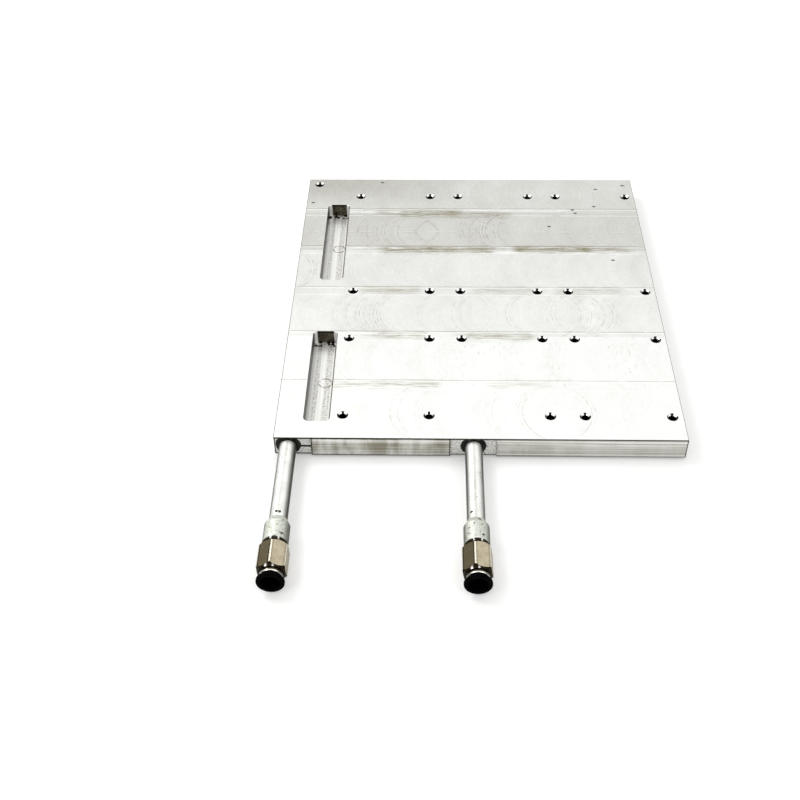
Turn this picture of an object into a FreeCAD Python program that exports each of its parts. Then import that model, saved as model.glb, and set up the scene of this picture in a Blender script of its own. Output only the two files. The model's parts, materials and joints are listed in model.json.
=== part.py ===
import FreeCAD, Part
import os
from math import cos, radians, sin, sqrt, tan

os.makedirs("parts", exist_ok=True)
same_place = 1e-6  # two places nearer to each other than this are one

# Liquid cooling cold plate, in millimetres.
# The origin is the centre of the plate's underside. +Z is up, out of the cooling face. The two hose
# ports are on the -Y face: the inlet at the plate's left end, the outlet near its middle.

# ---------------------------------------------------------------- plate
plate_width = 235.0  # along X
plate_length = 270.0  # along Y
plate_thickness = 14.0
plate_edge_break = 0.35  # chamfer along the outer edges

# bolt holes: three pairs of columns across the plate, and four rows along it
column_pair_starts = [-79.0, -9.0, 61.0]  # X of the left column of each pair
column_pair_spacing = 50.0
row_back = 112.0
row_middle = 1.0
row_inner = -47.0
row_front = -116.0
bolt_hole_diameter = 4.5  # clears an M4 screw
bolt_hole_chamfer = 1.0
corner_hole_inset_x = 7.5  # the single hole by the back left corner, from the plate's edges
corner_hole_inset_y = 7.3

# two long pockets in the cooling face, which clear tall parts of the board
pocket_width = 15.0
pocket_depth = 9.0
pocket_inset = 23.5  # from the plate's left edge to the pockets' centre line
pocket_corner_radius = 3.0
pocket_rim_break = 0.25
back_pocket_start = 13.0  # Y of each pocket's ends
back_pocket_end = 101.0
front_pocket_start = -121.0
front_pocket_end = -40.6

# ---------------------------------------------------------------- ports
inlet_inset = 8.0  # from the plate's left edge to the inlet's axis
outlet_x = -3.5
port_recess_width = 26.4  # shallow milled flat round each port, open at the plate's underside
port_recess_depth = 1.3
port_recess_lip = 0.8  # skin left between the recess and the cooling face
port_counterbore_diameter = 13.2
port_counterbore_depth = 4.0  # from the floor of the recess
port_tube_depth = 8.7  # how far the tube goes in past the counterbore
slit_height = 0.9  # saw cut beside the inlet, in the recess
slit_depth = 1.6
slit_centre_z = 6.3

# ---------------------------------------------------------------- coolant channels
gallery_diameter = 8.0  # the two from the ports, the spreader and the collector
channel_diameter = 7.0  # the feed and the rows, which cross them
drill_point_angle = 118.0
feed_channel_inset = 15.2  # from the plate's back; it crosses from the inlet gallery to the spreader
inlet_gallery_overrun = 0.2  # past the feed channel's axis
outlet_gallery_overrun = 2.0  # past the first lower row's axis
spreader_x = -66.0  # drilled in from the back face
collector_inset = 31.5  # from the plate's right edge; drilled in from the back face
upper_channel_rows = [92.0, 68.0, 44.0, 20.0, -23.0]  # Y of those from collector to spreader
lower_channel_rows = [-64.0, -82.0, -100.0]  # Y of those from collector to the outlet gallery
plug_diameter = 10.0
plug_length = 6.0
feed_plug_room = 0.6  # from this shorter plug to the inlet gallery just behind it
plug_lead = 0.6  # chamfer at its inner end
press_gap = 0.02  # radial room left in every pressed or brazed seat

# ---------------------------------------------------------------- tubes and their sleeves
tube_diameter = 10.0
tube_wall = 1.5
tube_free_length = 56.6  # from the plate's face to the sleeve
tube_in_sleeve = 7.4
seal_sunk = 0.9  # how far the port seal's face lies below the recess
seal_groove_width = 0.75  # the sunken ring beside the tube
seal_groove_depth = 1.8
seal_rim_round = 0.2
seal_groove_round = 0.3
sleeve_diameter = 14.0
sleeve_length = 16.6
sleeve_taper_length = 3.3
sleeve_lip = 0.25  # thickness where the taper starts
sleeve_shoulder_round = 0.8
sleeve_end_break = 0.3

# ---------------------------------------------------------------- push-in fittings
hose_diameter = 10.0
hex_across_flats = 15.0
hex_length = 16.9
hex_end_diameter = 14.4  # what the 45 degree chamfers leave at both ends
hex_corner_room = 0.2  # how far the chamfers' cones run out past the corners
inlet_hex_turn = 4.0  # degrees, the top edge leaning towards -X
outlet_hex_turn = 10.0
sleeve_to_hex_gap = 1.2  # a taper thread never closes up
mouth_length = 0.7  # round collar past the hexagon
mouth_round = 0.45
thread_diameter = 9.73  # R 1/8, at the hexagon
thread_length = 8.0
thread_taper = 1.0 / 16.0  # on the diameter
thread_room = 0.04
thread_tip_break = 0.5
waterway_diameter = 6.0
hose_stop = 3.8  # from the hexagon's back end
hose_play = 0.2  # all clearances below are radial
socket_length = 6.7
seal_section = 1.5
seal_hose_gap = 0.12
seal_chamber_gap = 0.05
seal_side_gap = 0.04
backup_length = 1.5
backup_hose_gap = 0.2
backup_rim = 0.55
backup_land = 0.3  # the length of its bore, below the dished face
claw_thickness = 0.3
claw_count = 10
claw_slit = 0.8
claw_rim = 0.65
claw_drop = 0.9  # how far the tips lean inwards along the axis
claw_hose_gap = 0.14
guide_seat_length = 3.1
guide_groove_width = 0.8
guide_groove_depth = 0.5
guide_groove_round = 0.2
guide_nose_length = 2.1
guide_nose_inset = 0.2
guide_nose_round = 0.55
guide_lip_length = 3.2
ring_hose_gap = 0.2
ring_wall = 0.6
ring_running_gap = 0.05
ring_bead_height = 0.25
ring_bead_length = 0.7
ring_nose_length = 0.4
ring_nose_taper = 0.25
ring_travel = 1.5
ring_stop_gap = 0.1
ring_flange_diameter = 15.0
ring_flange_length = 2.0
ring_front_round = 0.8
ring_back_round = 0.35
ring_mouth_round = 0.7

# ---------------------------------------------------------------- worked out from the above
half_width = plate_width / 2
half_length = plate_length / 2
front_y = -half_length
port_z = plate_thickness / 2
inlet_x = inlet_inset - half_width
pocket_centre_x = pocket_inset - half_width
collector_x = half_width - collector_inset
feed_channel_y = half_length - feed_channel_inset
inlet_gallery_end = feed_channel_y + inlet_gallery_overrun
outlet_gallery_end = lower_channel_rows[0] + outlet_gallery_overrun
spreader_end = upper_channel_rows[-1]
collector_end = lower_channel_rows[-1]
feed_plug_length = inlet_inset - gallery_diameter / 2 - feed_plug_room
recess_floor = -port_recess_depth  # places along a port's axis are measured outwards from the plate's face
counterbore_floor = recess_floor - port_counterbore_depth
tube_start = counterbore_floor - port_tube_depth
tube_end = tube_free_length + tube_in_sleeve
sleeve_end = tube_free_length + sleeve_length
hex_start = sleeve_end + sleeve_to_hex_gap
hex_end = hex_start + hex_length
body_end = hex_end + mouth_length
thread_start = hex_start - thread_length
hose_stop_at = hex_start + hose_stop
socket_end = hose_stop_at + socket_length

tube_radius = tube_diameter / 2
hose_radius = hose_diameter / 2
seal_radius = hose_radius + seal_hose_gap + seal_section / 2
chamber_radius = seal_radius + seal_section / 2 + seal_chamber_gap
seat_radius = chamber_radius - press_gap  # outer radius of all that is pressed in the chamber
seal_at = socket_end + seal_side_gap + seal_section / 2
backup_start = socket_end + seal_section + 2 * seal_side_gap
claw_start = backup_start + backup_length
guide_start = claw_start + claw_thickness
guide_seat_end = guide_start + guide_seat_length
guide_nose_start = guide_seat_end + guide_groove_width
guide_end = guide_nose_start + guide_nose_length
guide_lip_start = guide_end - guide_lip_length
ring_bore_radius = hose_radius + ring_hose_gap
ring_radius = ring_bore_radius + ring_wall
guide_bore_radius = ring_radius + ring_running_gap
bead_radius = ring_radius + ring_bead_height
bead_end = guide_lip_start - ring_stop_gap
bead_start = bead_end - ring_bead_length
ring_start = bead_start - ring_nose_length
flange_start = guide_end + ring_travel + ring_stop_gap
ring_end = flange_start + ring_flange_length


# ---------------------------------------------------------------- helpers
def vector(x, y, z):
    return FreeCAD.Vector(x, y, z)


def save(shape, name):
    shape.exportStep("parts/" + name + ".step")


def rounded_wire(corners):
    """A closed wire through corners given as (point, radius). A radius above 0 puts a tangent arc there."""
    edges = []
    starts = []
    ends = []
    count = len(corners)
    for i in range(count):
        point, radius = corners[i]
        if radius <= 0:
            starts.append(point)
            ends.append(point)
            continue
        back = (corners[i - 1][0] - point).normalize()
        ahead = (corners[(i + 1) % count][0] - point).normalize()
        half_angle = back.getAngle(ahead) / 2
        reach = radius / tan(half_angle)
        middle = (back + ahead).normalize() * (radius / sin(half_angle) - radius)
        start = point + back * reach
        end = point + ahead * reach
        edges.append(Part.Arc(start, point + middle, end).toShape())
        starts.append(start)
        ends.append(end)
    for i in range(count):
        if (starts[i] - ends[i - 1]).Length > same_place:
            edges.append(Part.LineSegment(ends[i - 1], starts[i]).toShape())
    return Part.Wire(Part.__sortEdges__(edges))


def turned(port_x, profile):
    """A piece turned about a port's axis. Profile points are (place, radius) or (place, radius, rounding)."""
    corners = []
    for point in profile:
        place, radius = point[:2]
        rounding = point[2] if len(point) == 3 else 0.0
        corners.append((vector(port_x + radius, front_y - place, port_z), rounding))
    face = Part.Face(rounded_wire(corners))
    return face.revolve(vector(port_x, 0, port_z), vector(0, 1, 0), 360)


def drilled(start, direction, depth, diameter):
    """A drilled hole's core, from start along direction, with the drill's point beyond its full depth."""
    radius = diameter / 2
    core = Part.makeCylinder(radius, depth, start, direction)
    point_length = radius / tan(radians(drill_point_angle / 2))
    point = Part.makeCone(radius, 0, point_length, start + direction * depth, direction)
    return core.fuse(point)


# ---------------------------------------------------------------- plate
def bolt_hole_places():
    """Both columns of every pair in every row. The front row leaves out the one over the outlet gallery."""
    places = []
    for row in (row_back, row_middle, row_inner, row_front):
        for start in column_pair_starts:
            for x in (start, start + column_pair_spacing):
                over_gallery = abs(x - outlet_x) < (bolt_hole_diameter + gallery_diameter) / 2
                if over_gallery and row < outlet_gallery_end:
                    continue
                places.append((x, row))
    places.append((corner_hole_inset_x - half_width, half_length - corner_hole_inset_y))
    return places


def bolt_hole(x, y):
    radius = bolt_hole_diameter / 2
    wide = radius + bolt_hole_chamfer
    core = Part.makeCylinder(radius, plate_thickness, vector(x, y, 0))
    below = Part.makeCone(wide, radius, bolt_hole_chamfer, vector(x, y, 0))
    top = plate_thickness - bolt_hole_chamfer
    above = Part.makeCone(radius, wide, bolt_hole_chamfer, vector(x, y, top))
    return core.fuse([below, above])


def pocket(start, end):
    """A milled pocket with round corners and a broken rim."""
    floor = plate_thickness - pocket_depth
    left = pocket_centre_x - pocket_width / 2
    core = Part.makeBox(pocket_width, end - start, pocket_depth, vector(left, start, floor))
    uprights = [e for e in core.Edges if e.BoundBox.ZLength > pocket_depth / 2]
    core = core.makeFillet(pocket_corner_radius, uprights)
    rim = [f for f in core.Faces if f.CenterOfMass.z > plate_thickness - same_place][0].OuterWire
    wide = rim.makeOffset2D(pocket_rim_break)
    low = rim.copy()
    low.translate(vector(0, 0, -pocket_rim_break))
    return core.fuse(Part.makeLoft([low, wide], True, True))


def port_cuts(port_x, gallery_end):
    """What is milled and drilled at a port: the recess, the counterbore, the tube's seat and the gallery."""
    recess = Part.makeBox(
        port_recess_width,
        port_recess_depth,
        plate_thickness - port_recess_lip,
        vector(port_x - port_recess_width / 2, front_y, 0),
    )
    axis = vector(0, 1, 0)
    mouth = vector(port_x, front_y, port_z)
    counterbore = Part.makeCylinder(port_counterbore_diameter / 2, -counterbore_floor, mouth, axis)
    seat = Part.makeCylinder(tube_radius + press_gap, -tube_start, mouth, axis)
    gallery = drilled(mouth, axis, gallery_end - front_y, gallery_diameter)
    return [recess, counterbore, seat, gallery]


def inlet_slit():
    """The saw cut in the inlet's recess, from the counterbore to the recess's side wall."""
    right = inlet_x + port_recess_width / 2
    low = slit_centre_z - slit_height / 2
    floor_y = front_y + port_recess_depth
    return Part.makeBox(right - inlet_x, slit_depth, slit_height, vector(inlet_x, floor_y, low))


def channels():
    """Each plugged channel as (plug name, plug length, mouth, direction, depth, diameter)."""
    found = []
    rows = [(y, spreader_x) for y in upper_channel_rows]
    rows += [(y, outlet_x) for y in lower_channel_rows]
    for i, (y, end_x) in enumerate(rows):
        name = "channel_plug_right_" + str(i + 1)
        mouth = vector(half_width, y, port_z)
        depth = half_width - end_x
        found.append((name, plug_length, mouth, vector(-1, 0, 0), depth, channel_diameter))
    for i, (x, end_y) in enumerate([(spreader_x, spreader_end), (collector_x, collector_end)]):
        name = "channel_plug_back_" + str(i + 1)
        mouth = vector(x, half_length, port_z)
        depth = half_length - end_y
        found.append((name, plug_length, mouth, vector(0, -1, 0), depth, gallery_diameter))
    mouth = vector(-half_width, feed_channel_y, port_z)
    depth = half_width + spreader_x
    found.append(("channel_plug_left_1", feed_plug_length, mouth, vector(1, 0, 0), depth, channel_diameter))
    return found


def plug(mouth, direction, length):
    """A pressed plug, flush with the plate's side, with a lead at its inner end."""
    radius = plug_diameter / 2 - press_gap
    body = Part.makeCylinder(radius, length - plug_lead, mouth, direction)
    lead_start = mouth + direction * (length - plug_lead)
    lead = Part.makeCone(radius, radius - plug_lead, plug_lead, lead_start, direction)
    return body.fuse(lead).removeSplitter()


def plate_body():
    block = Part.makeBox(
        plate_width,
        plate_length,
        plate_thickness,
        vector(-half_width, -half_length, 0),
    )
    block = block.makeChamfer(plate_edge_break, block.Edges)
    cuts = [bolt_hole(x, y) for x, y in bolt_hole_places()]
    cuts += [pocket(back_pocket_start, back_pocket_end)]
    cuts += [pocket(front_pocket_start, front_pocket_end)]
    cuts += port_cuts(inlet_x, inlet_gallery_end)
    cuts += port_cuts(outlet_x, outlet_gallery_end)
    cuts += [inlet_slit()]
    for name, length, mouth, direction, depth, diameter in channels():
        cuts += [drilled(mouth, direction, depth, diameter)]
        cuts += [Part.makeCylinder(plug_diameter / 2, length, mouth, direction)]
    for cut in cuts:
        block = block.cut(cut)
    return block


# ---------------------------------------------------------------- tubes
def tube(port_x):
    bore = tube_radius - tube_wall
    return turned(
        port_x,
        [
            (tube_start, bore),
            (tube_start, tube_radius),
            (tube_end, tube_radius),
            (tube_end, bore),
        ],
    )


def port_seal(port_x):
    """The ring of sealant in the counterbore, sunk to a groove beside the tube."""
    inner = tube_radius + press_gap
    outer = port_counterbore_diameter / 2 - press_gap
    face = recess_floor - seal_sunk
    return turned(
        port_x,
        [
            (counterbore_floor, inner),
            (counterbore_floor, outer),
            (face, outer, seal_rim_round),
            (face, inner + seal_groove_width, seal_groove_round),
            (face - seal_groove_depth, inner),
        ],
    )


def threaded_sleeve(port_x):
    """A sleeve over the tube's end, tapered down to it, and bored for the fitting's thread."""
    outer = sleeve_diameter / 2
    seat = tube_radius + press_gap
    bore = thread_diameter / 2 + thread_room
    return turned(
        port_x,
        [
            (tube_free_length, seat),
            (tube_free_length, seat + sleeve_lip),
            (tube_free_length + sleeve_taper_length, outer, sleeve_shoulder_round),
            (sleeve_end - sleeve_end_break, outer),
            (sleeve_end, outer - sleeve_end_break),
            (sleeve_end, bore),
            (tube_end, bore),
            (tube_end, seat),
        ],
    )


# ---------------------------------------------------------------- push-in fitting
def fitting_body(port_x, turn):
    """Hexagon with 45 degree ends, a round mouth, a taper thread, and the stepped bore for the hose."""
    corner = hex_across_flats / sqrt(3)
    end_radius = hex_end_diameter / 2
    chamfer = corner + hex_corner_room - end_radius
    points = []
    for i in range(6):
        angle = radians(90 + turn + 60 * i)
        points.append(vector(port_x + corner * cos(angle), front_y - hex_start, port_z + corner * sin(angle)))
    hexagon = Part.Face(Part.makePolygon(points + points[:1]))
    prism = hexagon.extrude(vector(0, hex_start - hex_end, 0))
    envelope = turned(
        port_x,
        [
            (hex_start, 0),
            (hex_start, end_radius),
            (hex_start + chamfer, end_radius + chamfer),
            (hex_end - chamfer, end_radius + chamfer),
            (hex_end, end_radius),
            (hex_end, 0),
        ],
    )
    tip_radius = thread_diameter / 2 - thread_length * thread_taper / 2
    thread = turned(
        port_x,
        [
            (thread_start, 0),
            (thread_start, tip_radius - thread_tip_break),
            (thread_start + thread_tip_break, tip_radius),
            (hex_start, thread_diameter / 2),
            (hex_start, 0),
        ],
    )
    mouth = turned(
        port_x,
        [
            (hex_end, 0),
            (hex_end, end_radius),
            (body_end, end_radius, mouth_round),
            (body_end, 0),
        ],
    )
    bore = turned(
        port_x,
        [
            (thread_start, 0),
            (thread_start, waterway_diameter / 2),
            (hose_stop_at, waterway_diameter / 2),
            (hose_stop_at, hose_radius + hose_play),
            (socket_end, hose_radius + hose_play),
            (socket_end, chamber_radius),
            (body_end, chamber_radius),
            (body_end, 0),
        ],
    )
    return prism.common(envelope).fuse([thread, mouth]).cut(bore).removeSplitter()


def hose_seal(port_x):
    """The O-ring, drawn as it lies round a hose."""
    centre = vector(port_x, front_y - seal_at, port_z)
    return Part.makeTorus(seal_radius, seal_section / 2, centre, vector(0, 1, 0))


def backup_ring(port_x):
    """The collar behind the O-ring, dished to leave room for the claws."""
    inner = hose_radius + backup_hose_gap
    rim = seat_radius - backup_rim
    return turned(
        port_x,
        [
            (backup_start, inner),
            (backup_start, seat_radius),
            (claw_start, seat_radius),
            (claw_start, rim),
            (claw_start - claw_drop / 2, rim),
            (backup_start + backup_land, inner),
        ],
    )


def claw_ring(port_x):
    """A dished stainless ring, slit from the bore outwards into claws that lean inwards."""
    tip = hose_radius + claw_hose_gap
    root = seat_radius - claw_rim
    disc = turned(
        port_x,
        [
            (claw_start, root),
            (claw_start, seat_radius),
            (claw_start + claw_thickness, seat_radius),
            (claw_start + claw_thickness, root),
            (claw_start + claw_thickness - claw_drop, tip),
            (claw_start - claw_drop, tip),
        ],
    )
    slits = []
    slit_inner = tip / 2
    slit_length = claw_drop + 2 * claw_thickness
    slit_start = front_y - claw_start - 2 * claw_thickness
    for i in range(claw_count):
        slit = Part.makeBox(
            root - slit_inner,
            slit_length,
            claw_slit,
            vector(slit_inner, slit_start, -claw_slit / 2),
        )
        slit.rotate(vector(0, 0, 0), vector(0, 1, 0), 360.0 * i / claw_count)
        slit.translate(vector(port_x, 0, port_z))
        slits.append(slit)
    return disc.cut(slits)


def guide_ring(port_x):
    """The ring pressed in the mouth: a seat, a groove, a polished nose, and a lip that keeps the bead in."""
    nose = seat_radius - guide_nose_inset
    relief = bead_radius + ring_running_gap
    return turned(
        port_x,
        [
            (guide_start, relief),
            (guide_start, seat_radius),
            (guide_seat_end, seat_radius),
            (guide_seat_end, seat_radius - guide_groove_depth),
            (guide_nose_start, seat_radius - guide_groove_depth),
            (guide_nose_start, nose, guide_groove_round),
            (guide_end, nose, guide_nose_round),
            (guide_end, guide_bore_radius),
            (guide_lip_start, guide_bore_radius),
            (guide_lip_start, relief),
        ],
    )


def release_ring(port_x):
    """The ring that is pushed in against the claws: flange, shank, retaining bead and nose."""
    flange = ring_flange_diameter / 2
    return turned(
        port_x,
        [
            (ring_start, ring_bore_radius),
            (ring_start, ring_radius - ring_nose_taper),
            (bead_start, bead_radius),
            (bead_end, bead_radius),
            (bead_end, ring_radius),
            (flange_start, ring_radius),
            (flange_start, flange, ring_back_round),
            (ring_end, flange, ring_front_round),
            (ring_end, ring_bore_radius, ring_mouth_round),
        ],
    )


# ---------------------------------------------------------------- build
save(plate_body(), "plate_body")
for plug_name, length, mouth, direction, depth, diameter in channels():
    save(plug(mouth, direction, length), plug_name)

for side, side_x, hex_turn in (("inlet", inlet_x, inlet_hex_turn), ("outlet", outlet_x, outlet_hex_turn)):
    save(tube(side_x), side + "_tube")
    save(port_seal(side_x), side + "_port_seal")
    save(threaded_sleeve(side_x), side + "_threaded_sleeve")
    save(fitting_body(side_x, hex_turn), side + "_fitting_body")
    save(hose_seal(side_x), side + "_hose_seal")
    save(backup_ring(side_x), side + "_backup_ring")
    save(claw_ring(side_x), side + "_claw_ring")
    save(guide_ring(side_x), side + "_guide_ring")
    save(release_ring(side_x), side + "_release_ring")
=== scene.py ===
import json
from math import cos, pi, radians, sin

import bpy
import numpy as np
from mathutils import Matrix, Vector


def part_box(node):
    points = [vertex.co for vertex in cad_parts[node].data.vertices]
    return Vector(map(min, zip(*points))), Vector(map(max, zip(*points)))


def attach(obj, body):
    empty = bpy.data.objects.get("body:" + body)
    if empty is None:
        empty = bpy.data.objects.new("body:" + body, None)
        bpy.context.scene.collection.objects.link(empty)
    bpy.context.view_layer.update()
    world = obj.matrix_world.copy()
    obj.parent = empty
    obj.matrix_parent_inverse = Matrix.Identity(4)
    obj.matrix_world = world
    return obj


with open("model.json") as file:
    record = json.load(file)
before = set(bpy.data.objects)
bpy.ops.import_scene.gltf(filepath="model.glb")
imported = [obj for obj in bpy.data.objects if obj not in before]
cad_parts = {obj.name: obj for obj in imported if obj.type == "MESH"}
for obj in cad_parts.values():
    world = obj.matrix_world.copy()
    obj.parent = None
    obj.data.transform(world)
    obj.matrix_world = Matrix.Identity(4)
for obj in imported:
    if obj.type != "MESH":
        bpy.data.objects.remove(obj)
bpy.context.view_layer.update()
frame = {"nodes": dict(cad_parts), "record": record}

# Finishes, threads, braze, sealant, floor, light and camera for the liquid cooling cold plate. X runs across the
# plate, Y to its back, Z up, and the ports are on its -Y face.
MM = 0.001

nodes = frame["nodes"]
plate_low, plate_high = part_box("plate_body")
half_width = plate_high.x / MM
half_length = plate_high.y / MM
thickness = plate_high.z / MM
sides = ("inlet", "outlet")
port_x = {}
port_z = thickness / 2
for side in sides:
    low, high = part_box(side + "_tube")
    port_x[side] = (low.x + high.x) / 2 / MM


# ---------------------------------------------------------------- shader maths
class Signal:
    """A node's output. Arithmetic on signals adds the Math nodes for it."""

    def __init__(self, finish, socket):
        self.finish = finish
        self.socket = socket

    def __add__(self, other):
        return self.finish.maths("ADD", self, other)

    def __sub__(self, other):
        return self.finish.maths("SUBTRACT", self, other)

    def __rsub__(self, other):
        return self.finish.maths("SUBTRACT", other, self)

    def __mul__(self, other):
        return self.finish.maths("MULTIPLY", self, other)

    def __truediv__(self, other):
        return self.finish.maths("DIVIDE", self, other)

    def __neg__(self):
        return self * -1

    def __abs__(self):
        return self.finish.maths("ABSOLUTE", self)

    __radd__ = __add__
    __rmul__ = __mul__


class Finish:
    """A material or world under construction. One method adds a node, and the others are short forms of it."""

    def __init__(self, owner):
        owner.use_nodes = True
        self.tree = owner.node_tree

    def node(self, kind, settings, inputs, output=0):
        """Adds a node. Its settings come first, a ramp's stops among them, then each socket's value or link."""
        node = self.tree.nodes.new("ShaderNode" + kind)
        for name, value in settings.items():
            if name == "stops":
                elements = node.color_ramp.elements
                elements[0].position = value[0][0]
                elements[1].position = value[-1][0]
                for place, _ in value[1:-1]:
                    elements.new(place)
                for element, (_, colour) in zip(elements, value):
                    element.color = (*colour, 1.0)
            else:
                setattr(node, name, value)
        self.feed(node, inputs)
        return Signal(self, node.outputs[output])

    def feed(self, node, inputs):
        """Gives a node's sockets their values, or links the signals to them."""
        for name, value in inputs.items():
            if isinstance(value, Signal):
                self.tree.links.new(value.socket, node.inputs[name])
            else:
                node.inputs[name].default_value = value

    def maths(self, operation, *values):
        """One Math node."""
        return self.node("Math", {"operation": operation}, dict(enumerate(values)))

    def step(self, value, low, high):
        """0 below low, 1 above high, and a smooth change between them. With low above high it falls instead."""
        settings = {"interpolation_type": "SMOOTHSTEP", "clamp": True}
        if low <= high:
            return self.node("MapRange", settings, {0: value, 1: low, 2: high, 3: 0.0, 4: 1.0})
        return self.node("MapRange", settings, {0: value, 1: high, 2: low, 3: 1.0, 4: 0.0})

    def line(self, value, place, width):
        """1 where value is at place, falling to 0 over width on both sides."""
        return self.step(abs(value - place), width, 0.0)

    def span(self, value, start, end, soft):
        """1 where value is from start to end, falling to 0 over soft outside them."""
        return self.step(value, start - soft, start) * self.step(value, end + soft, end)

    def only(self, value, number):
        """1 where value is that whole number, 0 elsewhere."""
        return self.maths("COMPARE", value, number, 0.5)

    def total(self, signals):
        """The sum of some signals, each added as soon as it is made, which needs the least memory in a render."""
        found = 0.0
        for signal in signals:
            found = signal + found
        return found

    def away(self, x, y):
        """The distance from a point, given how far off it each way."""
        return self.maths("SQRT", x * x + y * y)

    def vector(self, x, y, z):
        """A vector from three numbers."""
        return self.node("CombineXYZ", {}, {0: x, 1: y, 2: z})

    def noise(self, vector, scale=1.0, detail=2.0, roughness=0.5):
        """Noise from 0 to 1 at a point given in millimetres, with its grain about 1 / scale wide."""
        inputs = {"Vector": vector, "Scale": scale, "Detail": detail, "Roughness": roughness}
        return self.node("TexNoise", {"noise_dimensions": "3D"}, inputs)

    def grain(self, value, detail=2.0):
        """Noise along one number."""
        return self.node("TexNoise", {"noise_dimensions": "1D"}, {"W": value, "Scale": 1.0, "Detail": detail})

    def mix(self, factor, first, second):
        """A colour between two colours."""
        inputs = {0: factor}
        for socket, colour in ((6, first), (7, second)):  # the node's two colour sockets
            inputs[socket] = colour if isinstance(colour, Signal) else (*colour, 1.0)
        return self.node("Mix", {"data_type": "RGBA"}, inputs, output=2)

    def parts(self, vector):
        """A vector's three numbers."""
        return [self.node("SeparateXYZ", {}, {0: vector}, output=i) for i in range(3)]

    def place(self):
        """The point's place on the object, as three numbers in millimetres."""
        point = self.node("TexCoord", {}, {}, output="Object")
        return self.parts(self.node("VectorMath", {"operation": "SCALE"}, {0: point, "Scale": 1 / MM}))

    def facing(self):
        """The surface's own direction, as three numbers."""
        return self.parts(self.node("TexCoord", {}, {}, output="Normal"))

    def relief(self, height):
        """The direction of a surface raised by height, in millimetres."""
        return self.node("Bump", {}, {"Strength": 1.0, "Distance": MM, "Height": height})


def surface(name, values, inputs, covers=()):
    """A material from its fixed values and what varies over it. The inputs come from a function of the finish. Each
    cover is (where, inputs), for another finish that lies over the first where the first function gives 1."""
    material = bpy.data.materials.new(name)
    finish = Finish(material)
    shader = material.node_tree.nodes["Principled BSDF"]
    finish.feed(shader, values)
    finish.feed(shader, inputs(finish))
    total = Signal(finish, shader.outputs[0])
    for where, more in covers:
        cover = finish.node("BsdfPrincipled", {}, {**values, **more(finish)})
        total = finish.node("MixShader", {}, {0: where(finish), 1: total, 2: cover})
    finish.feed(material.node_tree.nodes["Material Output"], {"Surface": total})
    return material


# ---------------------------------------------------------------- milled plate
# Colours and noises that several finishes share. The dark colours are painted shade on edges, bevels, pocket walls, the
# sleeves' fronts and the hexagons' mouths, and the darkest is also the dark spots by the pockets' back ends. The bright
# one is pale metal and painted highlights.
pale_metal_and_highlight = (1.0, 1.0, 0.98)
painted_edge_shade = (0.03, 0.025, 0.013)
painted_deep_shade = (0.02, 0.016, 0.008)
deepest_shade_and_spots = (0.01, 0.009, 0.006)
mottling = {"scale": 0.8, "detail": 4.0, "roughness": 0.75}
specks = {"scale": 0.9, "detail": 4.0, "roughness": 0.75}

# The face mill runs along X in six passes, numbered 0 to 5 from the plate's back. Joint n is between passes n - 1
# and n.
cutter_radius = 25.0
pass_step = 45.5
first_pass_edge = 137.25  # Y of the first pass's outer edge
pass_tones = (0.27, 0.335, 0.15, 0.12, 0.0, 0.0)  # how dark each pass is
# (pass, X where the mill's rim first shows its marks, X where it stops, how dark)
rims_ahead = (
    (1, -84, -50, 0.6), (1, -9, 18, 0.9), (3, -90, -60, 0.7), (3, -40, -36, 0.5), (3, -15, -11, 0.7), (3, 19, 23, 0.6),
    (3, 42, 50, 0.8), (5, -52, -46, 0.6), (5, -38, -34, 0.5), (5, 22, 25, 0.9), (5, 3, 7, 0.4),
)
rims_behind = (
    (1, 23, 27, 0.4), (2, -108, -105, 0.8), (3, 9, 13, 0.5), (3, 64, 90, 0.8), (5, 62, 67, 0.8), (5, 12, 16, 0.4),
)
rim_fade = 3.0  # how far the marks fade beyond both ends
# (joint, X where its rubbed streaks start, X where they end, Y from the joint's middle, how dark)
rubs = (
    (1, -62, -12, 0.0, 0.7), (1, -44, 22, -2.8, 0.7), (2, -58, 9, 0.4, 1.3), (2, 33, 75, 1.0, 1.3),
    (2, 80, 102, 0.6, 0.8), (3, -68, -40, 1.2, 0.8), (3, 4, 40, 0.4, 0.5), (3, 58, 90, 1.0, 0.5),
    (4, -62, -36, 0.8, 0.8), (4, -4, 31, -0.6, 0.9), (5, -86, -27, 0.4, 0.7), (5, 10, 40, 1.2, 0.35),
)
rub_width = 6.6
# (joint, X where its burnished streaks start, X where they end, Y from the joint's middle)
gleams = (
    (1, -90, -45, 0.4), (1, 0, 62, 2.6), (2, -92, -54, 2.2), (2, 8, 40, -2.6), (2, 66, 100, -3.4), (4, -84, -20, 2.0),
    (5, -90, 20, -1.5),
)
gleam_width = 2.4
streak_fade = 9.0  # how far both kinds fade beyond both ends
dark_joint_line = 4.7  # Y of each joint's lines from its middle
bright_joint_lines = (3.5, -3.9)
ring_mark = (-31.0, 68.5)  # middle of the faint ring on pass 1
ring_mark_reach = (8.0, 12.5)
dabs_on_pass = 4
dab_spans = ((-18, 26), (47, 54), (78, 96))
flecks_on_pass = 2
fleck_span = (-78, 10)
# X and Y of the dents
dents = (
    (-113, 104), (-64, 130.5), (111, 127), (91, 122), (87.5, 99.7), (54, 74.7), (94, 35.5), (72, 95.4), (73.6, 91.4),
)

pocket_x = -94.0
pocket_half_width = 7.5
pocket_ends = (101.0, -40.6)  # Y of each pocket's back end
plunge_x = 1.9  # X of the end mill's round mark, from the pocket's middle
plunge_ys = (59.5, -79.0)
plunge_radius = 3.9
# (X where a row of chatter starts on the floor, X where it ends, how far it fades), from the pocket's middle
chatter = ((-4.5, -2.5, 0.7), (1.8, 4.6, 0.8))

recess_depth = 1.3
recess_floor_y = recess_depth - half_length
recess_half_width = 13.2
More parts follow.
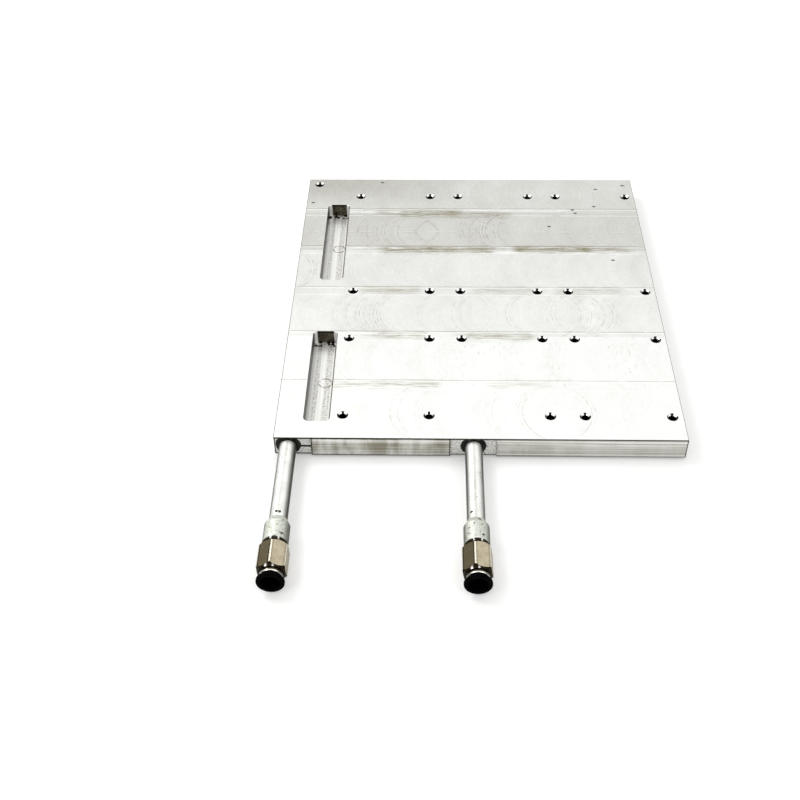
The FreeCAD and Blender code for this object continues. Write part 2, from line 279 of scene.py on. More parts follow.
# X of each recess's edge that is nearer the plate's middle
recess_sides = (port_x["inlet"] + recess_half_width + 0.4, port_x["outlet"] - recess_half_width - 0.4)
# The saw cut beside the inlet
slit_z = 6.3
slit_half_height = 0.45
slit_depth = 8.0


def face_milled(finish):
    """The cooling face: six passes of a face mill along X. Each has its own tone, and arcs of the mill's rim about its
    centre line. Each joint between two passes has a dark line, two bright ones, and rubbed and burnished streaks."""
    x, y, z = finish.place()
    point = finish.vector(x, y, z)

    pass_place = (first_pass_edge - y) / pass_step
    number = finish.maths("FLOOR", pass_place)
    across = (pass_place - number - 0.5) * pass_step
    reach = finish.maths("SQRT", finish.maths("MAXIMUM", cutter_radius ** 2 - across * across, 0.0))
    ahead = x + reach - cutter_radius
    behind = x - reach + cutter_radius

    def rims(rim, marks):
        return finish.total(
            finish.only(number, n) * finish.span(rim, start, end, rim_fade) * dark for n, start, end, dark in marks
        )

    rim_ahead = rims(ahead, rims_ahead)
    rim_behind = rims(behind, rims_behind)
    lines_ahead = finish.grain(ahead * 0.9 + number * 317.0, detail=3.0)
    lines_behind = finish.grain(behind * 0.9 + number * 533.0, detail=3.0)
    breaks = finish.noise(finish.vector(x * 0.2, y * 0.2, number), detail=4.0, roughness=0.7)
    broken = finish.step(breaks, 0.44, 0.6)
    swirls = (
        finish.step(lines_ahead, 0.46, 0.68) * (rim_ahead * (0.12 + broken * 0.88) + 0.1)
        + finish.step(lines_behind, 0.46, 0.68) * (rim_behind * (0.12 + broken * 0.88) + 0.06)
    )
    broad = finish.grain(ahead * 0.07 + number * 3.1, detail=3.0)
    mottle = finish.noise(point, **mottling)
    out_x = abs(x - ring_mark[0]) / ring_mark_reach[0]
    out_y = abs(y - ring_mark[1]) / ring_mark_reach[1]
    rounded = (out_x + out_y + finish.away(out_x, out_y)) / 2 + (mottle - 0.5) * 0.5
    ring = finish.line(rounded, 1.0, 0.2) * finish.only(number, 1) * (0.3 + broken * 0.7)
    in_centre = finish.step(finish.grain(x * 0.1 + number * 9.0, detail=3.0), 0.48, 0.56)
    centre = (finish.line(across, 2.2, 0.6) - finish.line(across, 0.8, 0.6) * 1.6) * in_centre * finish.only(number, 1)

    joint_number = finish.maths("ROUND", pass_place)
    off_joint = (joint_number - pass_place) * pass_step
    wander = (finish.grain(x * 0.035 + joint_number * 7.0) - 0.5) * 1.6
    streak_point = finish.vector(x * 0.05, (off_joint + wander) * 1.1, joint_number * 5.0)
    streak = finish.noise(streak_point, detail=6.0, roughness=0.75)
    smear = finish.step(streak, 0.4, 0.64) * finish.total(
        finish.only(joint_number, n)
        * finish.span(x, start, end, streak_fade)
        * finish.line(off_joint, place, rub_width)
        * dark
        for n, start, end, place, dark in rubs
    )
    gleam = finish.step(streak, 0.6, 0.4) * finish.total(
        finish.only(joint_number, n)
        * finish.span(x, start, end, streak_fade)
        * finish.line(off_joint, place, gleam_width)
        for n, start, end, place in gleams
    )
    middle_joint = len(pass_tones) / 2
    is_joint = finish.step(abs(joint_number - middle_joint), middle_joint - 0.5, middle_joint - 0.6)
    frayed = finish.step(finish.grain(x * 0.09 + joint_number * 21.0, detail=3.0), 0.3, 0.5)
    dark_line = finish.line(off_joint + wander * 0.3, dark_joint_line, 0.5) * (0.35 + frayed * 0.65) * is_joint
    first, second = bright_joint_lines
    bright_line = finish.line(off_joint + wander * 0.3, first, 0.55) + finish.line(off_joint + wander, second, 0.5)
    bright_line = bright_line * frayed * is_joint

    cloud = finish.noise(point, scale=0.04, detail=3.0, roughness=0.6)
    speck = finish.noise(point, **specks)
    scuff = finish.noise(finish.vector(x * 0.5, y * 0.16, 3.0), detail=3.0, roughness=0.7)
    dabs = finish.step(scuff, 0.56, 0.72) * finish.only(number, dabs_on_pass) * finish.total(
        finish.span(x, start, end, 6.0) for start, end in dab_spans
    )
    flecks = finish.noise(finish.vector(x * 0.55, y * 0.4, 9.0), detail=2.0, roughness=0.6)
    flecks = finish.step(flecks, 0.66, 0.74) * finish.only(number, flecks_on_pass) * finish.span(x, *fleck_span, 8.0)
    dent = finish.total(
        finish.step(finish.away((x - dent_x) * 0.6, y - dent_y) + speck, 1.55, 0.95) for dent_x, dent_y in dents
    )

    tone = finish.total(finish.only(number, n) * dark for n, dark in enumerate(pass_tones))
    # Darker towards the back left.
    darker_back_left = finish.step(x, 20.0, -100.0) * (0.03 + finish.step(y, 95.0, 128.0) * 0.22)
    shade = (
        tone
        + darker_back_left
        + (0.5 - cloud) * 0.22
        + (broad - 0.5) * 0.14
        + (mottle - 0.5) * 0.26
        + (speck - 0.5) * 0.26
        + (scuff - 0.5) * 0.14
        + swirls * 0.36
        + ring * 0.26
        + smear * 0.74
        + dark_line * 0.5
        + centre * 0.1
        + dabs * 0.22
        - gleam * 0.45
        - bright_line * 0.45
        - flecks * 0.35
    )
    colour = finish.mix(shade, (0.98, 0.99, 0.962), (0.24, 0.215, 0.15))
    colour = finish.mix(smear * 0.4, colour, (0.38, 0.34, 0.17))
    return {
        "Base Color": finish.mix(dent, colour, (0.05, 0.045, 0.035)),
        "Roughness": 0.3 + cloud * 0.12 + smear * 0.15,
        "Normal": finish.relief(lines_ahead * 0.003 + broad * 0.01 + speck * 0.001),
    }


def on_face(finish):
    """1 on the milled face, 0 elsewhere."""
    _, _, z = finish.place()
    _, _, nz = finish.facing()
    return finish.step(nz, 0.9, 0.97) * finish.step(z, thickness - 0.6, thickness - 0.3)


def drawn_sides(finish):
    """The plate's sides and holes: lines along X or Y with soft brown bands, deeper to the left, and a burnished line
    by both edges. The edges and the recesses' inner sides are outlined in painted shade, the bevels painted dark as
    shade, the recess floors pale and mottled, and the saw cut ragged and painted near black as its shade. The holes are
    painted dark as their shade, with a painted lit crescent on the bevel that faces the front."""
    x, y, z = finish.place()
    nx, ny, nz = finish.facing()
    point = finish.vector(x, y, z)
    half_thickness = thickness / 2
    speck = finish.noise(point, **specks)
    mottle = finish.noise(point, **mottling)
    along = finish.noise(finish.vector(x * 0.009, y * 0.009, z * 1.1), detail=4.0, roughness=0.7)
    bands = finish.noise(finish.vector(x * 0.08, y * 0.08, z * 0.02), detail=3.0, roughness=0.6)
    burnish = finish.line(abs(z - half_thickness), half_thickness - 1.9, 0.8)
    left = finish.step(x, 70.0, -60.0)
    shade = finish.step(along, 0.36, 0.62) * 0.55 + finish.step(bands, 0.36, 0.62) * (0.12 + left * 0.5) - burnish * 0.6
    shade = shade + (speck - 0.5) * 0.2
    colour = finish.mix(shade, (0.97, 0.965, 0.93), (0.3, 0.28, 0.21))

    recess = finish.step(abs(y - recess_floor_y), 0.3, 0.1)
    colour = finish.mix(recess, colour, finish.mix(finish.step(mottle, 0.46, 0.64), pale_metal_and_highlight, (0.4, 0.38, 0.3)))

    # Painted shade: dark lines along the top and bottom edges, stronger to the left, at both front corners, and at each
    # recess's inner side.
    edge_shade = finish.step(abs(z - half_thickness) + (mottle - 0.5) * 0.8, half_thickness - 1.1, half_thickness - 0.6)
    edge_shade = edge_shade * (0.6 + left * 0.4)
    corner_shade = finish.step(abs(x), half_width - 0.8, half_width - 0.5)
    corner_shade = corner_shade * finish.step(-y, half_length - 2, half_length - 1.5)
    recess_step_shade = finish.total(finish.line(x, place, 0.6) for place in recess_sides)
    recess_step_shade = recess_step_shade * finish.step(-y, half_length - 1.0, half_length - 0.8)
    colour = finish.mix(edge_shade + corner_shade + recess_step_shade, colour, painted_edge_shade)

    # The bevels are painted dark as shade, and the part of each hole's bevel that faces the front carries a painted
    # highlight, the lit crescent.
    inner = finish.step(abs(x), half_width - 0.6, half_width - 0.8)
    inner = inner * finish.step(abs(y), half_length - 0.6, half_length - 0.8)
    bevel = finish.span(nz, 0.5, 0.85, 0.1)
    crescent = inner * finish.step(-ny, 0.2, 0.4) * finish.step(abs(nx), 0.14, 0.3)
    colour = finish.mix(bevel, colour, finish.mix(crescent, painted_edge_shade, pale_metal_and_highlight))

    # The saw cut is painted near black as its shade, wider than the cut itself.
    ragged = abs(z - slit_z) + (mottle - 0.5) * 0.6
    slit_shade = finish.step(ragged, slit_half_height + 0.45, slit_half_height + 0.1)
    slit_shade = slit_shade * finish.span(x, port_x["inlet"], port_x["inlet"] + recess_half_width - 0.3, 0.1)
    slit_shade = slit_shade * finish.step(y, slit_depth - half_length, slit_depth - 1 - half_length)
    # The walls of the holes and bores are painted near black as their shade.
    hole_shade = inner * finish.step(abs(nz), 0.4, 0.2) * (1 - recess)
    return {
        "Base Color": finish.mix(finish.maths("MAXIMUM", hole_shade, slit_shade), colour, (0.012, 0.011, 0.009)),
        "Metallic": 1 - recess * 0.85,
        "Roughness": 0.26 + speck * 0.12,
        "Normal": finish.relief(along * 0.012 + mottle * 0.008),
    }


def end_milled(finish):
    """The pockets. Their walls are painted dark as their shade, most of all by the rim and on both sides, with painted
    highlights down the lit corners. Their floors have lengthwise stripes with two rows of chatter, a round mark where
    the end mill went down, painted shade by the right-hand wall, and black and white spots by the back ends."""
    x, y, z = finish.place()
    nx, _, nz = finish.facing()
    point = finish.vector(x, y, z)
    off_middle = x - pocket_x
    mottle = finish.noise(point, **mottling)
    # The walls are painted dark as shade, darkest by the rim and on the side walls, with painted highlights down the
    # corners.
    wall = finish.mix(finish.step(mottle, 0.4, 0.65), (0.17, 0.15, 0.11), (0.035, 0.03, 0.02))
    wall = finish.mix(finish.step(z, thickness - 1.6, thickness - 0.9) * 0.85, wall, deepest_shade_and_spots)
    wall = finish.mix(finish.step(abs(nx), 0.9, 0.97), wall, painted_deep_shade)
    level = finish.step(nz, 0.5, 0.9)
    corner = finish.span(abs(nx), 0.3, 0.84, 0.1) * (1 - level)
    wall = finish.mix(corner, wall, pale_metal_and_highlight)

    def plunge_mark(plunge_y):
        away = finish.away(off_middle - plunge_x, y - plunge_y)
        return finish.line(away, plunge_radius, 0.8) + finish.line(away, 1.4, 0.6) * 0.4

    stripes = finish.noise(finish.vector(off_middle * 0.7, y * 0.01, 2.0), detail=4.0, roughness=0.7)
    plunge = finish.total(plunge_mark(plunge_y) for plunge_y in plunge_ys)
    plunge = plunge * finish.step(finish.noise(finish.vector(x * 0.3, y * 0.3, 5.0)), 0.4, 0.55)
    by_end = finish.total(finish.span(y, end - 4.0, end, 0.5) for end in pocket_ends)
    end_spots = finish.step(finish.noise(point, scale=0.45, detail=1.0), 0.47, 0.52)
    # Painted shade along the floor by the right-hand wall.
    wall_foot_shade = finish.step(off_middle, pocket_half_width - 1.8, pocket_half_width - 1.2)
    rough = finish.total(finish.span(off_middle, *band) for band in chatter)
    shade = finish.step(stripes, 0.4, 0.66) * 0.2 + plunge * 0.7 + wall_foot_shade * 0.9
    shade = shade + rough * (0.14 + finish.step(mottle, 0.42, 0.64) * 0.4) + (mottle - 0.5) * 0.3
    floor = finish.mix(shade, (1.0, 1.0, 0.97), (0.2, 0.18, 0.12))
    floor = finish.mix(by_end, floor, finish.mix(end_spots, pale_metal_and_highlight, deepest_shade_and_spots))
    return {
        "Base Color": finish.mix(level, wall, floor),
        "Metallic": 1 - corner * 0.85 - level * 0.35,
        "Roughness": 0.28 + mottle * 0.15,
        "Normal": finish.relief(stripes * 0.02),
    }


def in_pocket(finish):
    """1 inside the pockets, below their rims, and 0 elsewhere."""
    x, y, z = finish.place()
    across = finish.step(abs(x - pocket_x), pocket_half_width + 0.6, pocket_half_width + 0.2)
    below_rim = finish.step(z, thickness - 0.2, thickness - 0.4) * finish.step(z, 1.0, 3.0)
    return across * finish.step(abs(y), 130.0, 128.0) * below_rim


# ---------------------------------------------------------------- other finishes
sleeve_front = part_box("inlet_threaded_sleeve")[0].y / MM
sleeve_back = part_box("inlet_threaded_sleeve")[1].y / MM
nose_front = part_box("inlet_guide_ring")[0].y / MM
glint_places = (-1.8, 2.4)  # X of the glints on each sleeve's front edge, from the port's
hexagon_flat = 7.5  # from the hexagon's axis to its flats
hexagon_corner = hexagon_flat / cos(radians(30))
# X and Y of the dark pits that show most
tube_pits = (
    (port_x["inlet"] - 0.9, sleeve_back + 3.5), (port_x["inlet"] + 0.9, sleeve_back + 3.3),
    (port_x["outlet"] - 2.6, sleeve_back + 4.6),
)
sleeve_pits = (
    (port_x["inlet"] + 3.4, sleeve_front + 3.8), (port_x["outlet"] + 3.4, sleeve_front + 3.8),
    (port_x["outlet"] + 1.4, sleeve_back - 1.2), (port_x["outlet"] + 2.0, sleeve_back - 2.6),
)


def drawn(finish):
    """The tube: fine lines along it, a grey streak down its top, soft blotches, a few dark pits, and a painted dark
    brown reflection of the shaded floor that deepens down its flanks."""
    x, y, z = finish.place()
    nx, _, _ = finish.facing()
    streak = finish.line(nx, -0.02, 0.26)
    lines = finish.noise(finish.vector(x * 1.6, y * 0.02, z * 1.6), detail=3.0, roughness=0.6)
    blotch = finish.noise(finish.vector(x, y, z), scale=0.16, detail=3.0, roughness=0.6)
    pits = finish.step(finish.noise(finish.vector(x, y * 0.8, z), scale=0.5, detail=1.0), 0.74, 0.78)
    pits = pits + finish.total(
        finish.step(finish.away(x - pit_x, y - pit_y) + blotch, 1.45, 1.2) for pit_x, pit_y in tube_pits
    )
    # Painted reflection: the flanks darken as if reflecting the shaded floor beside the tube.
    dark_flank_reflection = finish.maths("MAXIMUM", finish.step(nx, 0.5, 0.97), finish.step(-nx, 0.6, 0.95))
    dark_flank_reflection = dark_flank_reflection + (lines - 0.5) * dark_flank_reflection
    shade = finish.step(lines * 0.5 + blotch * 0.6, 0.45, 0.8) * 0.5 + streak * (0.25 + lines * 0.5)
    colour = finish.mix(shade, (0.95, 0.96, 0.93), (0.5, 0.51, 0.45))
    colour = finish.mix(dark_flank_reflection, colour, (0.025, 0.019, 0.009))
    return {
        "Base Color": finish.mix(pits, colour, (0.06, 0.05, 0.03)),
        "Roughness": 0.3 + blotch * 0.14,
        "Normal": finish.relief(lines * 0.006 + blotch * 0.004 - pits * 0.1),
    }


def cast_sleeve(finish):
    """The sleeve: matte, with fine turning rings, pits and grey-green freckles, and painted shade down its flanks. Its
    front edge has a painted shadow, with two painted glints."""
    x, y, z = finish.place()
    nx, _, nz = finish.facing()
    point = finish.vector(x, y, z)
    rings = finish.grain(y * 3.0)
    freckles = finish.noise(point, scale=0.9, detail=4.0, roughness=0.7)
    pits = finish.step(finish.noise(point, scale=0.5, detail=1.0), 0.66, 0.72)
    fine = finish.noise(point, scale=1.7, detail=2.0, roughness=0.6)
    pits = pits + finish.total(
        finish.step(finish.away(x - pit_x, y - pit_y) + fine * 5, 3.2, 2.8) for pit_x, pit_y in sleeve_pits
    )
    # Painted shade down both flanks, and a painted shadow on the front edge with two painted glints.
    sleeve_flank_shade = finish.maths("MAXIMUM", finish.step(nx, 0.6, 1.0), finish.step(-nx, 0.7, 1.0))
    shadow = finish.step(y - nz, sleeve_front + 0.4, sleeve_front + 0.1)
    glints = finish.total(finish.line(x, port + place, 0.7) for port in port_x.values() for place in glint_places)
    shade = finish.step(freckles, 0.38, 0.68) * 0.6
    colour = finish.mix(shade, (0.74, 0.765, 0.69), (0.3, 0.32, 0.26))
    colour = finish.mix(sleeve_flank_shade * 0.9, colour, (0.06, 0.055, 0.035))
    colour = finish.mix(shadow, colour, finish.mix(glints, painted_deep_shade, (1.0, 1.0, 0.97)))
    return {
        "Base Color": finish.mix(pits, colour, (0.04, 0.035, 0.025)),
        "Roughness": 0.42 + freckles * 0.2,
        "Normal": finish.relief(rings * 0.006 + freckles * 0.03 - pits * 0.12),
    }


def plated(side, turn):
    """Nickel over brass on a hexagon whose top corner leans by turn degrees: warm grey, brushed both ways, and painted
    darker to the left as shade. Its six edges are painted bright, partly as wear and partly as a highlight on their
    rounding, and rounded, with a painted line of shade beside them. Its front bevel and mouth are painted dark as
    shade, with two painted glints by the top corner."""
    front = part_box(side + "_fitting_body")[0].y / MM
    corner_x = port_x[side] - hexagon_corner * sin(radians(turn))

    def inputs(finish):
        x, y, z = finish.place()
        nx, ny, nz = finish.facing()
        brushed = finish.noise(finish.vector(x * 0.3, y * 3.0, z * 0.3), detail=3.0, roughness=0.6)
        crossed = finish.noise(finish.vector(x * 3.0, y * 0.3, z * 3.0), detail=2.0, roughness=0.6)
        cloud = finish.noise(finish.vector(x, y, z), scale=0.25, detail=3.0)
        angle = finish.maths("ARCTAN2", z - port_z, x - port_x[side]) + (2 * pi - radians(90 + turn))
        from_corner = finish.maths("PINGPONG", angle, radians(30))
        # Each edge is painted bright, partly wear and partly a highlight on its rounding.
        edge = finish.step(from_corner + (crossed - 0.5) * 0.02, 0.062, 0.012)
        outside = finish.step(finish.away(x - port_x[side], z - port_z), hexagon_flat - 0.2, hexagon_flat - 0.05)
        # Painted shade: the faces that look left are darker, and a line beside each edge is dark.
        left = finish.step(-nx, 0.2, 0.4)
        beside = finish.line(from_corner, 0.1, 0.06) * outside * (0.35 + left * 0.6)
        # The front bevel and mouth are painted dark as shade, with two painted glints by the top corner.
        mouth_shade = finish.maths("MAXIMUM", finish.step(-ny, 0.35, 0.6), finish.step(y, front + 0.9, front + 0.7))
        glints = finish.line(abs(x - corner_x), 1.9, 0.9) * finish.step(nz, 0.3, 0.5)
        # Random tarnish, the nickel's own.
        tarnish_and_shade = finish.step(brushed * 0.4 + crossed * 0.3 + cloud * 0.5, 0.45, 0.8)
        colour = finish.mix(left, (0.62, 0.545, 0.39), (0.24, 0.2, 0.115))
        colour = finish.mix(tarnish_and_shade * 0.4, colour, (0.16, 0.13, 0.07))
        colour = finish.mix(beside, colour, painted_deep_shade)
        colour = finish.mix(mouth_shade, colour, finish.mix(glints, painted_deep_shade, (1.0, 0.98, 0.92)))
        return {
            "Base Color": finish.mix(edge * outside * (1 - mouth_shade), colour, (1.0, 0.95, 0.84)),
            "Roughness": 0.22 + brushed * 0.12,
            "Normal": finish.relief(brushed * 0.005 + crossed * 0.004 - edge * edge * outside * 0.16),
        }

    return inputs


def polished(finish):
    """Fine turning rings, with painted shade down the flanks and in the corner behind the nose."""
    _, y, _ = finish.place()
    nx, _, _ = finish.facing()
    rings = finish.grain(y * 4.0)
    # Painted shade down the flanks and in the corner behind the nose.
    tarnish_and_shade = finish.step(y, nose_front + 0.7, nose_front + 1.1) + finish.step(abs(nx), 0.45, 0.85)
    colour = finish.mix(rings, (1.0, 0.97, 0.88), (0.85, 0.81, 0.7))
    return {
        "Base Color": finish.mix(tarnish_and_shade, colour, (0.04, 0.034, 0.02)),
        "Roughness": 0.1 + rings * 0.08,
        "Normal": finish.relief(rings * 0.002),
    }


def turned_end(node):
    """A plug's end: turning rings about its own axis, a dimple in the middle, and a dark line where it is pressed in.
    A plug runs along X or Y, whichever side of the plate is nearer."""
    low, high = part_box(node)
    middle = (low + high) / 2 / MM
    radius = (high.z - low.z) / 2 / MM
    runs_along_x = half_width - abs(middle.x) < half_length - abs(middle.y)

    def inputs(finish):
        x, y, z = finish.place()
        sideways = y - middle.y if runs_along_x else x - middle.x
        away = finish.away(sideways, z - middle.z)
        rings = finish.grain(away * 3.5, detail=3.0)
        rim = finish.step(away, radius - 0.3, radius - 0.05)
        dimple = finish.step(away, 0.55, 0.35)
        colour = finish.mix(rings, (0.9, 0.9, 0.87), (0.6, 0.59, 0.55))
        return {
            "Base Color": finish.mix(rim * 0.75 + dimple * 0.5, colour, (0.1, 0.09, 0.07)),
            "Roughness": 0.26 + rings * 0.16,
            "Normal": finish.relief(rings * 0.01 - rim * 0.1 - dimple * 0.15),
        }

    return inputs


def moulded(light, dark, depth):
    """A moulded skin: fine spark texture of a depth in millimetres, between two tones."""

    def inputs(finish):
        point = finish.vector(*finish.place())
        spark = finish.noise(point, scale=2.5, detail=3.0, roughness=0.7)
        wear = finish.noise(point, scale=0.3, detail=3.0, roughness=0.6)
        return {
            "Base Color": finish.mix(finish.step(wear, 0.4, 0.7), dark, light),
            "Roughness": 0.46 + spark * 0.25,
            "Normal": finish.relief(spark * depth),
        }

    return inputs


def sealed(finish):
    """Cured sealant: lumpy and near black, with a paler mottle round its outer edge, a painted highlight where the
    bead's flank catches the light.
    """
    x, y, z = finish.place()
    point = finish.vector(x, y, z)
    lumps = finish.noise(point, scale=0.9, detail=3.0, roughness=0.6)
    off_port = finish.maths("MINIMUM", *(abs(x - port) for port in port_x.values()))
    # Painted highlight: a paler mottle round the outer edge, where the bead's flank catches the light.
    lit_rim_mottle = finish.step(finish.noise(point, scale=1.6, detail=3.0, roughness=0.7), 0.5, 0.7)
    lit_rim_mottle = lit_rim_mottle * finish.step(finish.away(off_port, z - port_z), 6.2, 7.0)
    return {
        "Base Color": finish.mix(lit_rim_mottle, (0.006, 0.006, 0.005), (0.16, 0.15, 0.11)),
        "Roughness": 0.4 + lumps * 0.3,
        "Normal": finish.relief(lumps * 0.3),
    }


bright = {"Metallic": 1.0}
satin = {"Metallic": 0.6}
dull = {"Metallic": 0.0, "Specular IOR Level": 0.15}
matt = {"Metallic": 0.0, "Specular IOR Level": 0.02}
finishes = {
    "milled_aluminium": (bright, drawn_sides, ((in_pocket, end_milled), (on_face, face_milled))),
    "drawn_aluminium": (satin, drawn),
    "turned_aluminium": (satin, cast_sleeve),
    "bright_nickel": (bright, polished),
    "spring_steel": (bright, polished),
    "port_sealant": (dull, sealed),
    "black_plastic": (matt, moulded((0.002, 0.002, 0.002), (0.0005, 0.0005, 0.0005), 0.002)),
    "seal_rubber": (dull, moulded((0.02, 0.02, 0.02), (0.01, 0.01, 0.01), 0.004)),
    "white_plastic": (dull, moulded((0.8, 0.8, 0.76), (0.74, 0.74, 0.7), 0.004)),
}
materials = {name: surface(name, *finish) for name, finish in finishes.items()}
hexagon_turns = {"inlet": 4.0, "outlet": 10.0}  # how far each one's top corner leans to the left, in degrees
hexagons = {
    side + "_fitting_body": surface(side + "_nickel_plate", bright, plated(side, turn))
    for side, turn in hexagon_turns.items()
}
for subpart in frame["record"]["subparts"]:
    node = subpart["node"]
    slot_name = subpart["material_slot"]
    if slot_name == "plug_aluminium":
        material = surface(node + "_end", bright, turned_end(node))
    else:
        material = hexagons[node] if node in hexagons else materials[slot_name]
    for slot in nodes[node].material_slots:
        slot.material = material


# ---------------------------------------------------------------- pieces that only show
tube_radius = 5.0


def angles(count):
    """The angles of a ring piece's rows, one under the other."""
    return np.linspace(0, 2 * pi, count, endpoint=False)[:, None]


def ring_piece(name, side, material, along, radius):
    """A closed ring about a port's axis. along and radius are arrays of places along Y and distances from the axis,
    in millimetres, with a row for each angle round the axis and a column for each point of the section's loop:
    point = (port x + radius cos angle, along, port z + radius sin angle)."""
    rows, columns = radius.shape
    angle = angles(rows)
    points = np.stack([port_x[side] + radius * np.cos(angle), along + 0 * radius, port_z + radius * np.sin(angle)], -1)
    row, column = np.meshgrid(np.arange(rows), np.arange(columns), indexing="ij")
    next_row = (row + 1) % rows
    next_column = (column + 1) % columns
    corners = [
        row * columns + column,
        row * columns + next_column,
        next_row * columns + next_column,
        next_row * columns + column,
    ]
    faces = np.stack([c.ravel() for c in corners], -1)
    mesh = bpy.data.meshes.new(name)
    mesh.from_pydata((points.reshape(-1, 3) * MM).tolist(), [], faces.tolist())
    mesh.materials.append(material)
    mesh.shade_smooth()
    piece = bpy.data.objects.new(name, mesh)
    bpy.context.scene.collection.objects.link(piece)
    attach(piece, "cold_plate")


def add_thread(side):
    """The taper thread in the gap before the hexagon: the distance from the axis goes up and down by 0.3 mm in a
    triangle wave of Y, and the wave moves on by one pitch in each turn. The inner side is a plain bore."""
    pitch = 0.907
    root = 4.87
    depth = 0.3
    rows = 96
    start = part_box(side + "_threaded_sleeve")[0].y / MM
    back = start + 0.2
    front = start - 1.4
    along = np.linspace(back, front, 41)[None, :]
    wave = (along / pitch + angles(rows) / (2 * pi)) % 1
    outer = root + depth * (1 - abs(2 * wave - 1))
    bore = np.full((rows, 2), root - depth)
    along = np.concatenate([along, [[front, back]]], 1) + 0 * outer[:, :1]
    radius = np.concatenate([outer, bore], 1)
    ring_piece(side + "_thread", side, hexagons[side + "_fitting_body"], along, radius)


def add_braze(side):
    """The braze where the tube enters its sleeve: a hollow quarter curve from the sleeve's lip down to the tube,
    whose foot wanders by a quarter of a millimetre as two sine waves of the angle."""
    rows = 72
    height = 0.42
    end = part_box(side + "_threaded_sleeve")[1].y / MM
    angle = angles(rows)
    reach = 1.1 + 0.25 * np.sin(3 * angle + 1) + 0.12 * np.sin(8 * angle)
    part = np.linspace(0, 1, 9)[None, :]
    along = end - 0.1 + reach * part
    radius = tube_radius - 0.03 + height * (1 - part) ** 2 + 0 * reach
    buried = np.full((rows, 2), tube_radius - 0.1)
    along = np.concatenate([along, along[:, -1:], along[:, :1]], 1)[:, ::-1]
    radius = np.concatenate([radius, buried], 1)[:, ::-1]
    ring_piece(side + "_braze", side, materials["turned_aluminium"], along, radius)


def add_sealant_bead(side):
    """The sealant's fillet round the tube: a hollow curve from the tube, 1.5 mm out from the recess's floor, down to
    the floor 7.4 mm from the axis. It is cut off flat above and below where the plate ends, and its outer edge wanders
    as three sine waves of the angle."""
    rows = 144
    inner = tube_radius - 0.05
    flat = 6.85
    angle = angles(rows)
    part = np.linspace(0, 1, 13)[None, :]
    wander = 0.16 * np.sin(3 * angle + 2 * port_x[side]) + 0.1 * np.sin(7 * angle + 1) + 0.06 * np.sin(17 * angle)
    outer = np.minimum(7.35 + wander, flat / np.maximum(abs(np.sin(angle)), 0.1))
    radius = inner + (outer - inner) * part
    along = recess_floor_y - (1.45 + wander) * (1 - part) ** 1.6
    back = np.full((rows, 1), recess_floor_y + 0.3)
    radius = np.concatenate([radius, outer, np.full((rows, 1), inner)], 1)
    along = np.concatenate([along, back, back], 1)
    ring_piece(side + "_sealant_bead", side, materials["port_sealant"], along, radius)


for side in sides:
    add_thread(side)
    add_braze(side)
    add_sealant_bead(side)


# ---------------------------------------------------------------- floor, light and camera
def add_floor():
    """A pale floor, a little brighter to the camera than it is lit. The part rests on the plate's back edge and the
    hexagons' lowest corners, so the floor dips towards them."""
    low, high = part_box("inlet_fitting_body")
    slope = (plate_low.z - low.z) / (plate_high.y - (low.y + high.y) / 2)
    reach = 3.0
    corners = [
        (x * reach, y * reach, slope * (y * reach - plate_high.y))
        for x, y in ((-1, -1), (1, -1), (1, 1), (-1, 1))
    ]
    mesh = bpy.data.meshes.new("floor")
    mesh.from_pydata(corners, [], [(0, 1, 2, 3)])
    floor = bpy.data.objects.new("floor", mesh)
    bpy.context.scene.collection.objects.link(floor)
    material = bpy.data.materials.new("floor")
    finish = Finish(material)
    diffuse = finish.node("BsdfDiffuse", {}, {"Color": (0.7, 0.7, 0.69, 1.0)})
    camera_ray = finish.node("LightPath", {}, {}, output="Is Camera Ray")
    glow = finish.node("Emission", {}, {"Color": (1.0, 1.0, 1.0, 1.0), "Strength": camera_ray * 0.3})
    total = finish.node("AddShader", {}, {0: diffuse, 1: glow})
    finish.feed(finish.tree.nodes["Material Output"], {"Surface": total})
    mesh.materials.append(material)


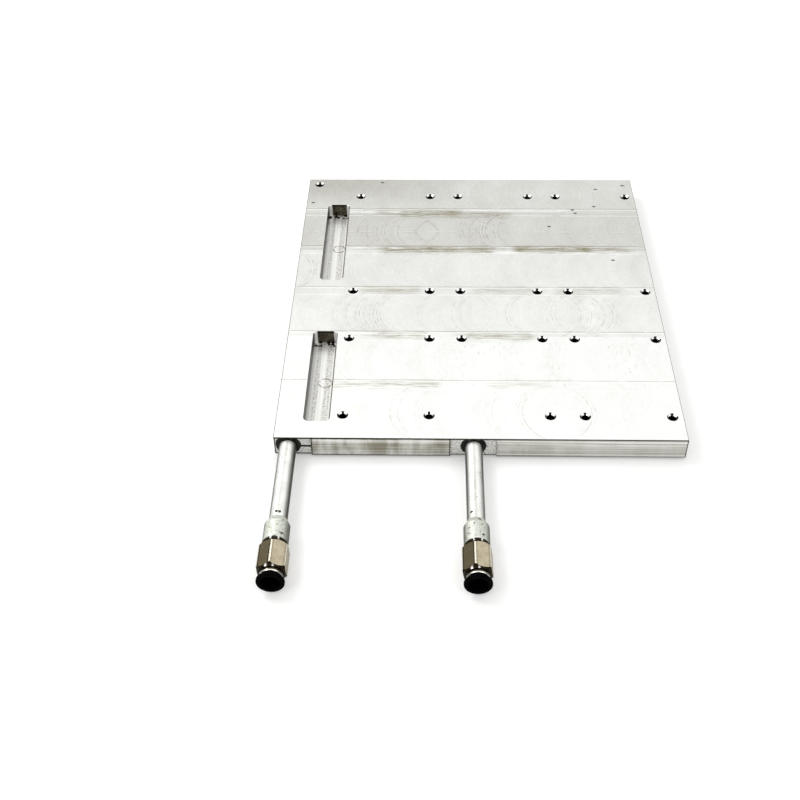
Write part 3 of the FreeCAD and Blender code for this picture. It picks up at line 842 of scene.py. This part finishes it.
def add_world():
    """Bright overhead, dim near the horizon, and dark in an upright strip where the camera stands. The camera itself
    sees white."""
    world = bpy.data.worlds.new("studio")
    bpy.context.scene.world = world
    finish = Finish(world)
    dx, dy, dz = finish.parts(finish.node("TexCoord", {}, {}, output="Generated"))
    # (how high the direction points, how bright)
    levels = (
        (0.0, 0.36), (0.2, 0.42), (0.36, 0.66), (0.5, 0.86), (0.55, 0.96), (0.6, 1.04), (0.66, 1.08), (0.7, 1.09),
        (1.0, 1.09),
    )
    height = finish.node("ValToRGB", {"stops": [(place, (level,) * 3) for place, level in levels]}, {0: dz})
    sideways = abs(dx) / finish.maths("MAXIMUM", -dy, 0.01)
    camera_side = finish.step(sideways, 0.42, 0.25) * finish.step(dz, 0.48, 0.56) * finish.step(dz, 0.93, 0.86)
    strength = height * (1 - camera_side * 0.96) * (1 + dx * 0.06)
    camera_ray = finish.node("LightPath", {}, {}, output="Is Camera Ray")
    seen = finish.maths("MAXIMUM", strength, camera_ray)
    finish.feed(finish.tree.nodes["Background"], {"Color": (1.0, 1.0, 1.0, 1.0), "Strength": seen})


def add_lamp(name, place, size, power):
    """A square lamp that faces the plate."""
    data = bpy.data.lights.new(name, "AREA")
    data.size = size
    data.energy = power
    lamp = bpy.data.objects.new(name, data)
    lamp.location = place
    lamp.rotation_euler = (-Vector(place)).to_track_quat("-Z", "Y").to_euler()
    bpy.context.scene.collection.objects.link(lamp)


def add_camera():
    """The camera, in front of the plate and above it, looking down."""
    camera_place = Vector((-29.9, -592.5, 472.9)) * MM
    pitch = radians(43.14)
    yaw = radians(1.89)
    roll = radians(-0.92)
    data = bpy.data.cameras.new("camera")
    data.sensor_width = 36.0
    data.lens = 51.52
    camera = bpy.data.objects.new("camera", data)
    turn = Matrix.Rotation(yaw, 3, "Z") @ Matrix.Rotation(pi / 2 - pitch, 3, "X") @ Matrix.Rotation(roll, 3, "Z")
    camera.matrix_world = Matrix.Translation(camera_place) @ turn.to_4x4()
    bpy.context.scene.collection.objects.link(camera)
    bpy.context.scene.camera = camera


add_floor()
add_world()
add_lamp("key", (-0.9, 0.35, 1.1), 0.7, 9.0)
add_lamp("left glint", (-0.55, -0.75, 0.7), 0.12, 0.8)
add_lamp("right glint", (0.55, -0.75, 0.7), 0.12, 0.8)
add_camera()
bpy.context.scene.view_settings.view_transform = "Standard"
